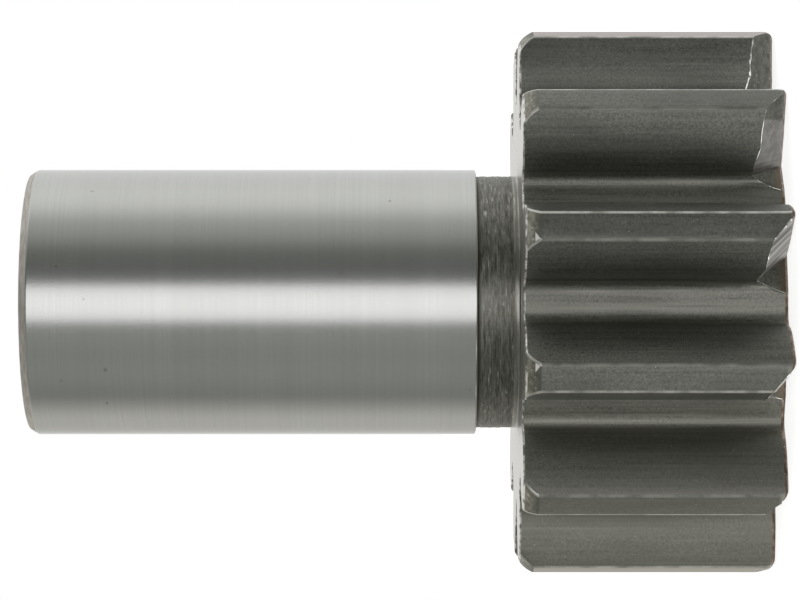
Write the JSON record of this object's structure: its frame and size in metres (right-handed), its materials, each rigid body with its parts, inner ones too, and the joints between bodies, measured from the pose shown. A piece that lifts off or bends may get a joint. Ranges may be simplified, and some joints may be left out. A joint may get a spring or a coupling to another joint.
{
  "type": "starter pinion gear",
  "caption": "Spur pinion for a starter drive: a short toothed gear with lead-in chamfers, a turned neck and a long smooth ground shank, bored right through.",
  "frame": {"origin": "middle of the outer end face of the gear, on the shaft line", "axes": "+Z along the shaft line, from the gear up the shank; +X and +Y each point along the middle of a tooth space"},
  "size_m": [0.0428, 0.0428, 0.0591],
  "materials": {
    "steel": "ground shank, dark heat-treated teeth"
  },
  "bodies": {
    "root": {"starter_pinion_gear": "steel"}
  },
  "joints": []
}
